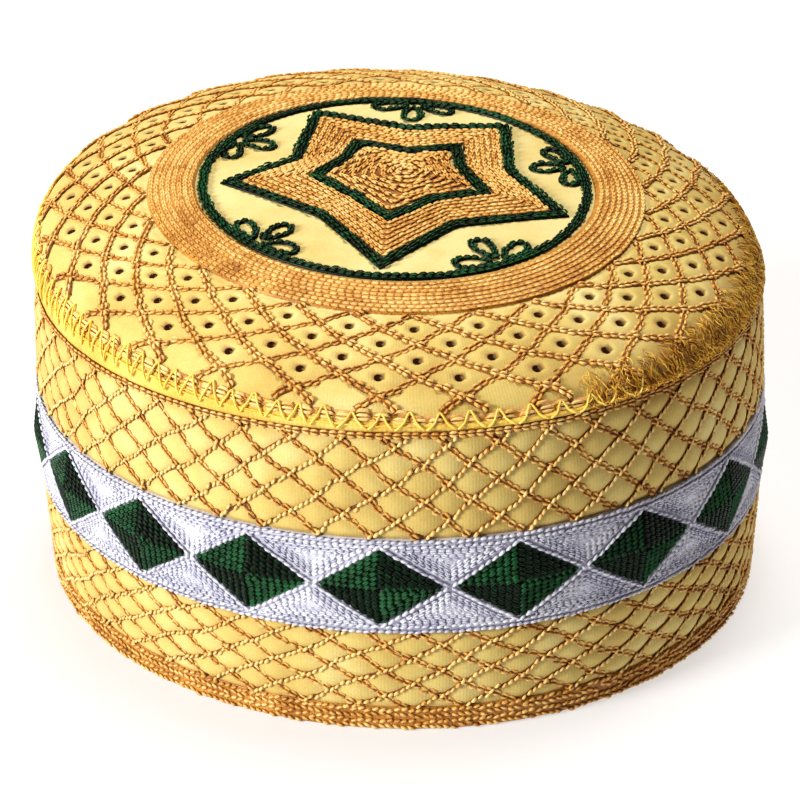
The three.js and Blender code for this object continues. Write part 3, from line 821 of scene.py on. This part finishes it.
def smooth_line(points, steps):
    """A smooth curve through points, by Catmull and Rom's rule."""
    points = np.asarray(points, float)
    padded = np.concatenate([2 * points[:1] - points[1:2], points, 2 * points[-1:] - points[-2:-1]])
    t = (np.arange(steps) / steps)[None, :, None]
    a, b, c, d = (padded[i:len(padded) - 3 + i, None] for i in range(4))
    curve = 0.5 * (2 * b + (c - a) * t + (2 * a - 5 * b + 4 * c - d) * t**2 + (3 * b - a - 3 * c + d) * t**3)
    return np.concatenate([curve.reshape(-1, points.shape[1]), points[-1:]])


def swept_face(radii, heights, outward):
    """A face swept round the cap: its plan holds millimetres round, and millimetres along a section.

    outward is 1 for a section that runs up the cap, and -1 for one that runs down it."""
    length = lengths(pairs(radii, heights))
    out_radius = outward * np.gradient(heights, length)
    out_height = -outward * np.gradient(radii, length)

    def face(plan, lift):
        along = plan[..., 1]
        radius = np.interp(along, length, radii) + lift * np.interp(along, length, out_radius)
        height = np.interp(along, length, heights) + lift * np.interp(along, length, out_height)
        return round_cap(plan[..., 0], radius, height)

    return face, length[-1]


section = smooth_line(ROLL_SECTION, 6)
roll_radius = SHOULDER_RADIUS + BINDING_PROUD * section[:, 0]
roll_z = BINDING_BOTTOM + BINDING_HEIGHT * section[:, 1]
on_roll, ROLL_WIDTH = swept_face(roll_radius, roll_z, 1)
print("binding:", round(float(ROLL_WIDTH), 1), "mm across its roll")


# %% Binding cloth
def roll_wrinkle(arc, along):
    """Soft gathers across the strip, and slow swelling along it."""
    turn = arc / CAP_RADIUS
    gathers = np.sin(57 * turn + 0.5 * along + 2 * np.sin(5 * turn)) * 0.16
    fine = np.sin(131 * turn - 0.8 * along + 3 * np.sin(7 * turn + 1)) * 0.08
    slow = np.sin(4 * turn + 1) * 0.2 + np.sin(9 * turn) * 0.12
    return (gathers + fine + slow) * np.sin(math.pi * np.clip(along / ROLL_WIDTH, 0, 1))


ROLL_COLUMNS = 600
ROLL_BACK_SLOPE = 0.5
ROLL_BACK_RADIUS = 87.4
roll_middle = (BINDING_TOP + BINDING_BOTTOM) / 2
backing = {BINDING_TOP + 0.3: ROLL_BACK_RADIUS - ROLL_BACK_SLOPE, roll_middle: ROLL_BACK_RADIUS,
           BINDING_BOTTOM: ROLL_BACK_RADIUS + ROLL_BACK_SLOPE}
arc = np.arange(ROLL_COLUMNS) * ROUND / ROLL_COLUMNS
roll_plan = pairs(arc[None, :], np.linspace(0, ROLL_WIDTH, 30)[:, None])
roll_skin = on_roll(roll_plan, roll_wrinkle(roll_plan[..., 0], roll_plan[..., 1]))
skins = np.concatenate([roll_skin, [round_cap(arc, radius, z) for z, radius in backing.items()]])
make_piece("binding_cloth", BINDING, "binding_yellow", skins.reshape(-1, 3),
           [wrap_faces(len(skins), ROLL_COLUMNS)], replaced=["edge_binding"])

# %% The shoulder's outer skin
SHOULDER_FROM = 84
SHOULDER_MEETS_ROLL = 86
over_edge = np.linspace(SHOULDER_FROM, CLOTH_EDGE, 24)
down_roll = roll_z < SHOULDER_MEETS_ROLL
skin_radius = np.concatenate([over_edge, roll_radius[down_roll][::-1]])
skin_z = np.concatenate([crown_height(over_edge) - edge_drop(over_edge), roll_z[down_roll][::-1]])
on_shoulder, SHOULDER_LENGTH = swept_face(skin_radius, skin_z, -1)
print("skin of the shoulder:", round(float(SHOULDER_LENGTH), 1), "mm")


def place_of(turn):
    """Millimetres round for a turn in degrees from the front, to the right."""
    return math.radians(turn) * CAP_RADIUS - BAND_TURN * CAP_RADIUS


# %% Border loops
LOOP_DEPTH = 7.2
WORN_FROM = place_of(36)
WORN_TO = place_of(118)
border_arc = np.linspace(WORN_TO, WORN_FROM + ROUND, 560)
border_line = pairs(border_arc, LOOP_DEPTH + 0.25 * np.sin(border_arc / 9) + 0.15 * np.sin(border_arc / 3.1))
loop_row = dict(face=on_shoulder, line=border_line, stitch=LOOP, pitch=4.2, corners=5)
border = [dict(lift=0.1, width=3.2, thread=0.44, tone=0.6, spine=0.5, uneven=0.14, **loop_row),
          dict(lift=0.3, width=1.8, thread=0.38, tone=0.95, uneven=0.12, **loop_row)]
sew("border_loops", GOLD, "thread_gold", border)


# %% [markdown]
# ## Loose threads on the binding
# A bright yellow thread zigzags over the roll, and at the right the edge is worn: there the loops are
# gone, and fine fibres hang over the roll. These are long thin tubes along given points. Curve objects
# with a bevel would do, but there are over two thousand, and one mesh keeps them in one piece.


# %% Thin tubes
def tube_mesh(path, thick, tone, corners=5):
    """A round tube along a path of points, closed at both ends by narrowing."""
    outward = unit(path * np.array([1, 1, 0]) + np.array([0, 0, 40.0]))
    ring, rise = thread_ring(unit(np.gradient(path, axis=0)), outward, corners)
    size = np.full(len(path), thick)
    size[0] = size[-1] = thick * 0.15
    points = (path[:, None] + ring * size[:, None, None]).reshape(-1, 3)
    fan = np.arange(1, corners - 1)
    start = np.stack([0 * fan, fan + 1, fan], -1)
    end = np.stack([0 * fan, fan, fan + 1], -1) + (len(path) - 1) * corners
    # Painted light: the upper side of each tube is drawn a little lighter than its lower side.
    tones = tone + np.tile(rise * 0.15, len(path))
    return points, np.concatenate([start, end]), tube_faces(len(path), corners), tones


# %% Zigzag thread
# Each pitch of the zigzag, in millimetres, at a turn in degrees from the front.
ZIGZAG_PITCHES = {-180: 5.6, -75: 4.8, -40: 5.2, 0: 6.8, 40: 7.6, 122: 6.0, 180: 5.6}
ZIGZAG_TOP = 5.4
ZIGZAG_FOOT = SHOULDER_LENGTH - 3.6
ZIGZAG_FROM = place_of(122)
ZIGZAG_TO = place_of(38) + ROUND
ZIGZAG_BEND = 1.35
LONG_THREADS = 7
tips = [ZIGZAG_FROM]
while tips[-1] < ZIGZAG_TO:
    turn = (math.degrees(tips[-1] / CAP_RADIUS + BAND_TURN) + 180) % 360 - 180
    pitch = float(np.interp(turn, list(ZIGZAG_PITCHES), list(ZIGZAG_PITCHES.values())))
    tips.append(tips[-1] + pitch / 2 * random.uniform(0.85, 1.15))
tips = np.array(tips)
depths = np.where(np.arange(len(tips)) % 2 == 0, ZIGZAG_TOP, ZIGZAG_FOOT)
depths = depths + random.uniform(-0.5, 0.5, len(tips))
threads = []
for k in range(len(tips) - 1):
    share = np.linspace(-0.05, 1.05, 9)
    inside = np.clip(share, 0, 1)
    down = inside**ZIGZAG_BEND if depths[k + 1] > depths[k] else 1 - (1 - inside) ** ZIGZAG_BEND
    line = pairs(tips[k] + share * (tips[k + 1] - tips[k]), depths[k] + down * (depths[k + 1] - depths[k]))
    path = on_shoulder(line, 0.4 + 0.4 * np.sin(math.pi * inside))
    threads.append(tube_mesh(path, 0.28, 0.85 + random.normal(0, 0.1)))
for row in range(LONG_THREADS):
    start = random.uniform(ZIGZAG_FROM, ZIGZAG_TO - 130)
    run = start + np.linspace(0, random.uniform(60, 130), 60)
    depth = 9.2 + 0.45 * row + 0.5 * np.sin(run / 11 + row) + 0.25 * np.sin(run / 3.7 + 2 * row)
    threads.append(tube_mesh(on_shoulder(pairs(run, depth), 0.35), 0.2, 0.7))
make_piece("zigzag_thread", YELLOW, "binding_yellow", *gather(threads))

# %% Worn fibres
FIBRES = 2100
FIBRES_FROM = 28
FIBRES_SPAN = 84
fibres = []
for k in range(FIBRES):
    turn = FIBRES_FROM + FIBRES_SPAN * random.beta(1.3, 1.3)
    root = -0.5 + 10.5 * random.beta(1.9, 1.3)
    length = random.uniform(1.5, 3.5 + 0.45 * root)
    drift = random.normal(0.4, 1.5) + 1.4 * math.sin(0.31 * turn) * math.sin(0.9 * root)
    share = np.linspace(0, 1, 5)
    bend = random.normal(0, 0.9) * np.sin(math.pi * share)
    line = pairs(place_of(turn) + drift * share + bend, root + length * share)
    path = on_shoulder(line, 0.15 + random.uniform(0.3, 1.0) * np.sin(math.pi * share * 0.8))
    fibres.append(tube_mesh(path, random.uniform(0.09, 0.17), random.uniform(-0.1, 0.85), 3))
make_piece("worn_fibres", YELLOW, "binding_yellow", *gather(fibres))

# %% [markdown]
# ## Coil, ring and star
# On the crown eight rows of gold braid wind round a green ring, and inside it sits a five-pointed star,
# drawn by eye: two green outlines, a gold frame in rows that follow them, and a gold swirl in the
# middle. Colour and bump in the cloth's material could show them, but would look printed. So each is
# a low pad with rows of stitches on it, and its lines come from the same corners as the solids do.

# %% Coil and ring
RING_INNER = 46.3
RING_ROWS = (46.95, 48.1)
RING_PAD = (46.6, 48.5)
COIL_PAD = (49.4, 61.5)
COIL_START = 49.9
COIL_REACH = 11.6
COIL_TURNS = 8
coil_angles = np.linspace(0, 2 * math.pi * COIL_TURNS, 200 * COIL_TURNS)
coil_line = polar(coil_angles + 0.9, COIL_START + COIL_REACH * coil_angles / coil_angles[-1])
full_turn = np.linspace(0, 2 * math.pi, 361)[:-1]


def crown_pad(inner, outer, lift, tone):
    """A padded ring on the crown, between two radii."""
    return pad_mesh(on_crown, polar(full_turn, outer), polar(full_turn, inner), lift, tone)


def closed_rows(lines, lift, **sewing):
    """Rows on the crown that each close on themselves."""
    return [dict(face=on_crown, line=line, lift=lift, closed=True, **sewing) for line in lines]


coil = dict(face=on_crown, line=coil_line, lift=0.5, stitch=BRAID, pitch=1.9, width=1.6, thread=0.37,
            tone=0.58, uneven=0.05)
sew("coil_stitches", GOLD, "thread_gold", [coil], [crown_pad(*COIL_PAD, 0.55, 0.4)], ["gold_coil"])
sew("ring_stitches", GREEN, "thread_green",
    closed_rows([polar(full_turn, radius) for radius in RING_ROWS], 0.65, stitch=CHAIN, pitch=2.1, width=1.6,
                thread=0.34, tone=0.5, uneven=0.12),
    [crown_pad(*RING_PAD, 0.4, 0.1)], ["green_ring"])

# %% Corners of the star
# Each corner is a turn in degrees and a share of the way out to the green ring, drawn one by one.
STAR_OUTER = [(-95, 0.965), (-57, 0.61), (-21, 0.985), (13, 0.67), (48.5, 0.98), (83, 0.67), (117.5, 0.98),
              (155, 0.62), (181.5, 0.945), (226, 0.59)]
STAR_INNER = [(-95, 0.475), (-48, 0.325), (-15, 0.54), (26, 0.425), (50, 0.585), (78, 0.39), (114, 0.53),
              (140, 0.395), (175, 0.475), (222, 0.32)]


def star_corners(table, offset):
    """Corners of a star outline, moved out at right angles to its sides."""
    turn, reach = np.array(table).T
    corners = polar(np.radians(turn), reach * RING_INNER)
    side = unit(np.roll(corners, -1, 0) - corners)
    normal_out = pairs(side[:, 1], -side[:, 0])
    across = unit(np.roll(normal_out, 1, 0) + normal_out)
    return corners + across * (offset / (across * normal_out).sum(-1))[:, None]


# %% Star stitches
OUTLINE_PAD = (-0.3, -2.7)
OUTLINE_ROWS = (-0.8, -2.2)
FRAME_ROWS = 7
CENTRE_SHARES = (1.0, 0.87, 0.74, 0.61, 0.48, 0.36, 0.24, 0.12)
CENTRE_DRIFT = np.array([1.5, 2.0])


def many(corners, pieces=14):
    """A closed outline with more points along each side."""
    share = (np.arange(pieces) / pieces)[None, :, None]
    return (corners[:, None] + (np.roll(corners, -1, 0) - corners)[:, None] * share).reshape(-1, 2)


def star_pad(outer, inner, lift, tone):
    return pad_mesh(on_crown, many(outer), many(inner), lift, tone)


tables = (STAR_OUTER, STAR_INNER)
outlines = [star_corners(table, offset) for table in tables for offset in OUTLINE_ROWS]
outline_pads = [star_pad(*(star_corners(table, offset) for offset in OUTLINE_PAD), 0.4, 0.1)
                for table in tables]
sew("star_outline_stitches", GREEN, "thread_green",
    closed_rows(outlines, 0.7, stitch=CHAIN, pitch=2.3, width=1.9, thread=0.36, tone=0.5, uneven=0.14),
    outline_pads, ["star_outline_outer", "star_outline_inner"])
frame_outer = star_corners(STAR_OUTER, -3.7)
frame_inner = star_corners(STAR_INNER, 0.8)
frame_lines = [frame_outer + (frame_inner - frame_outer) * share for share in np.linspace(0, 1, FRAME_ROWS)]
frame_pad = star_pad(star_corners(STAR_OUTER, -3.0), star_corners(STAR_INNER, 0.2), 0.35, 0.35)
sew("star_frame_stitches", GOLD, "thread_gold",
    closed_rows(frame_lines, 0.5, stitch=BRAID, pitch=1.9, width=1.7, thread=0.36, tone=0.6, uneven=0.1),
    [frame_pad], ["star_frame_gold"])
centre_outer = star_corners(STAR_INNER, -4.1)
middle = centre_outer.mean(0)
swirl_lines = many(centre_outer) - middle
swirl_turn = np.arctan2(swirl_lines[:, 1], swirl_lines[:, 0])
swirl_reach = np.hypot(swirl_lines[:, 0], swirl_lines[:, 1])
centre_lines = []
for share in CENTRE_SHARES:
    reach = share * (swirl_reach * share + swirl_reach.mean() * (1 - share))
    knot = middle + CENTRE_DRIFT * (1 - share)
    centre_lines.append(knot + polar(swirl_turn + 0.9 * (1 - share) ** 2, reach))
sew("star_centre_stitches", GOLD, "thread_gold",
    closed_rows(centre_lines, 0.6, stitch=BRAID, pitch=1.9, width=1.9, thread=0.38, tone=0.6, uneven=0.16),
    [star_pad(centre_outer, middle + (centre_outer - middle) * 0.02, 0.3, 0.25)], ["star_centre_gold"])

# %% Trefoils
TREFOIL_LENGTH = 10.5
TREFOIL_LOOP = 5.6
TREFOIL_THREAD = 1.4
TREFOIL_LEANS = (-68, 0, 68)
LOOP_MIDDLE = 0.62
loop_length = TREFOIL_LENGTH * 0.95 - TREFOIL_THREAD
loop_width = TREFOIL_LOOP - TREFOIL_THREAD
loop = np.linspace(0, 2 * math.pi, 15)[:-1]
loop_along = loop_length / 2 * np.cos(loop)
loop_across = loop_width / 2 * np.sin(loop) * (1 - 0.35 * np.cos(loop + math.pi))
tips = [turn for turn, _ in STAR_OUTER[::2]]
trefoil_lines = []
for tip, following in zip(tips, tips[1:] + [tips[0] + 360]):
    turn = math.radians((tip + following) / 2)
    foot = polar(turn, RING_INNER - SOLID_GAP)
    for lean in TREFOIL_LEANS:
        inward = polar(turn + math.pi + math.radians(lean), 1)
        across = np.array([-inward[1], inward[0]])
        middle = foot + inward * TREFOIL_LENGTH * LOOP_MIDDLE
        trefoil_lines.append(middle + inward * loop_along[:, None] + across * loop_across[:, None])
sew("trefoil_stitches", GREEN, "thread_green",
    closed_rows(trefoil_lines, 0.45, stitch=CHAIN, pitch=1.9, width=1.95, thread=0.44, tone=0.5, spine=0.1,
                uneven=0.14), (), [f"trefoil_{k + 1}" for k in range(len(tips))])

# %% [markdown]
# ## The white band and its diamonds
# White thread fills the band round eighteen green diamonds. Along each edge of the band run two rows,
# a heavier rope row edges every diamond, and the triangles left between them are filled with smaller
# and smaller triangles. Each diamond is filled with smaller diamonds and rises to a low peak. One
# stretch of the band could be made once and repeated by an array, but then all its stitches would
# repeat too. A loop sews each stretch anew, so no two are quite alike.

# %% Band layout
DIAMONDS = 18
DIAMOND_STEP = ROUND / DIAMONDS
DIAMOND_SPACING = 2.4
BAND_MARGIN = 2.6
HALF_WIDTH = DIAMOND_STEP / 2 - DIAMOND_SPACING / 2
HALF_HEIGHT = BAND_HEIGHT / 2 - BAND_MARGIN
BAND_LIFT = 0.75


def rhombus(centre, grow):
    """A diamond's outline, grown at right angles to its sides."""
    painted_slant = math.hypot(HALF_WIDTH, HALF_HEIGHT)
    wide = HALF_WIDTH + grow * painted_slant / HALF_HEIGHT
    high = HALF_HEIGHT + grow * painted_slant / HALF_WIDTH
    return np.array([[centre - wide, BAND_MIDDLE], [centre, BAND_MIDDLE - high], [centre + wide, BAND_MIDDLE],
                     [centre, BAND_MIDDLE + high]])


def inset(corners, distance):
    """A triangle moved in at right angles to its sides, or None where nothing is left."""
    opposite = np.linalg.norm(np.roll(corners, -1, 0) - np.roll(corners, 1, 0), axis=1)
    centre = (corners * opposite[:, None]).sum(0) / opposite.sum()
    sides = np.roll(corners, -1, 0) - corners
    area = abs(sides[0, 0] * sides[1, 1] - sides[0, 1] * sides[1, 0]) / 2
    inner = 2 * area / opposite.sum()
    return centre + (corners - centre) * (1 - distance / inner) if distance < inner * 0.92 else None


# %% White stitches
EDGE_ROWS = (BAND_BOTTOM + 0.6, BAND_BOTTOM + 1.9, BAND_TOP - 1.9, BAND_TOP - 0.6)
EDGE_SEWING = dict(lift=BAND_LIFT, stitch=ROPE, pitch=1.7, width=1.6, thread=0.42, tone=0.72)
RHOMBUS_SEWING = dict(lift=BAND_LIFT + 0.2, stitch=ROPE, pitch=1.9, width=1.6, thread=0.44, closed=True,
                      tone=0.8, painted_slant=0.12)
FILL_SEWING = dict(stitch=CHAIN, pitch=1.8, width=1.25, thread=0.3, closed=True, tone=0.7, painted_slant=0.14)
TRIANGLE_INSETS = (0.1, 1.0, 1.9, 2.8, 3.6)
TRIANGLE_TIP = 1.5
TRIANGLE_BASE = HALF_HEIGHT + 0.1
half_base = (TRIANGLE_BASE - TRIANGLE_TIP) * HALF_WIDTH / HALF_HEIGHT
white_rows = [dict(face=on_wall, line=ring_line(z), **EDGE_SEWING) for z in EDGE_ROWS]
for k in range(DIAMONDS):
    white_rows.append(dict(face=on_wall, line=rhombus((k + 0.5) * DIAMOND_STEP, 0.6), **RHOMBUS_SEWING))
    waist = k * DIAMOND_STEP
    for sign in (-1, 1):
        tip_z = BAND_MIDDLE + sign * TRIANGLE_TIP
        base_z = BAND_MIDDLE + sign * TRIANGLE_BASE
        corners = np.array([[waist, tip_z], [waist + half_base, base_z], [waist - half_base, base_z]])
        for distance in TRIANGLE_INSETS:
            loop = inset(corners, distance)
            if loop is not None:
                lift = BAND_LIFT - 0.1 * distance
                white_rows.append(dict(face=on_wall, line=loop, lift=lift, **FILL_SEWING))
sew("band_stitches", WHITE, "thread_white", white_rows,
    [wall_pad(BAND_BOTTOM + 0.2, BAND_TOP - 0.2, 0.55, 0.7, 12)], ["white_band"])

# %% Green stitches
DIAMOND_PEAK = 1.3
GREEN_INSETS = np.arange(0.45, 7.9, 0.95)
GREEN_SEWING = dict(lift=0.9, stitch=CHAIN, pitch=2.1, width=1.15, thread=0.3, closed=True, tone=0.42,
                    painted_slant=0.27)


def on_diamonds(plan, lift):
    """The wall with its diamonds' low peaks."""
    across = np.abs((plan[..., 0] % DIAMOND_STEP) - DIAMOND_STEP / 2) / HALF_WIDTH
    away = np.abs(plan[..., 1] - BAND_MIDDLE) / HALF_HEIGHT
    return on_wall(plan, lift + DIAMOND_PEAK * np.clip(1 - across - away, 0, 1))


green_rows = []
green_pads = []
for k in range(DIAMONDS):
    centre = (k + 0.5) * DIAMOND_STEP
    outline = many(rhombus(centre, -0.1), 16)
    heart = np.array([centre, BAND_MIDDLE])
    green_pads.append(pad_mesh(on_diamonds, outline, heart + (outline - heart) * 0.02, 0.7, 0.15, 5))
    for distance in GREEN_INSETS:
        green_rows.append(dict(face=on_diamonds, line=rhombus(centre, -distance), **GREEN_SEWING))
sew("diamond_stitches", GREEN, "thread_green", green_rows, green_pads,
    [f"green_diamond_{k + 1:02d}" for k in range(DIAMONDS)])

# %% [markdown]
# ## Studio
# The photo is a bright studio shot: a strong soft light from the left, little fill, and a white ground.
# A bright world would be the simplest light, but it would take the shadows out of the stitches. So the
# world is nearly dark, a lamp low at the left gives each thread a bright and a dark side, and a weaker
# one above fills in. The camera looks down from three quarters of a metre away, with a long lens.

# %% Floor and world
bpy.ops.mesh.primitive_plane_add(size=40)
floor = bpy.context.object
floor.name = "floor"
paper, _, shader = new_material("floor paper")
set_inputs(shader, {"Base Color": (0.45, 0.455, 0.48, 1), "Roughness": 0.9, "Emission Color": (1, 1, 1, 1),
                    "Emission Strength": 0.5})
floor.data.materials.append(paper)
world = bpy.data.worlds.new("studio")
bpy.context.scene.world = world
world.use_nodes = True
set_inputs(world.node_tree.nodes["Background"], {"Color": (1.0, 0.60, 0.28, 1), "Strength": 0.065})


# %% Soft lights
CAP_MIDDLE = Vector((0, 0, 0.05))


def soft_light(name, place, size, power, colour):
    """A square lamp that faces the middle of the cap; places are metres."""
    lamp = bpy.data.lights.new(name, "AREA")
    lamp.size = size
    lamp.energy = power
    lamp.color = colour
    lamp_object = add_object(name, lamp)
    lamp_object.location = place
    lamp_object.rotation_euler = (CAP_MIDDLE - Vector(place)).to_track_quat("-Z", "Y").to_euler()
    print(name, "light:", power, "W")


soft_light("key", (-1.15, -0.70, 0.60), 0.45, 20.5, (1.0, 0.97, 0.90))
soft_light("top", (0.15, 0.3, 1.3), 0.6, 12, (1.0, 0.96, 0.88))

# %% Camera
FOCAL_PIXELS = 2960.0
DISTANCE = 760.0
ELEVATION = math.radians(27.13)
ROLL = math.radians(-0.968)
SIDEWAYS = 0.32
AIM_HEIGHT = 41.09
PICTURE_PIXELS = 800
SENSOR = 36
place = Vector((SIDEWAYS, -DISTANCE * math.cos(ELEVATION), AIM_HEIGHT + DISTANCE * math.sin(ELEVATION))) * MM
camera_data = bpy.data.cameras.new("camera")
camera_data.sensor_width = SENSOR
camera_data.lens = FOCAL_PIXELS / PICTURE_PIXELS * SENSOR
camera = add_object("camera", camera_data)
turn = Matrix.Rotation(math.pi / 2 - ELEVATION, 4, "X") @ Matrix.Rotation(ROLL, 4, "Z")
camera.matrix_world = Matrix.Translation(place) @ turn
bpy.context.scene.camera = camera
bpy.context.scene.view_settings.view_transform = "Standard"
bpy.context.scene.view_settings.look = "Medium High Contrast"
print("lens:", round(camera_data.lens, 1), "mm")
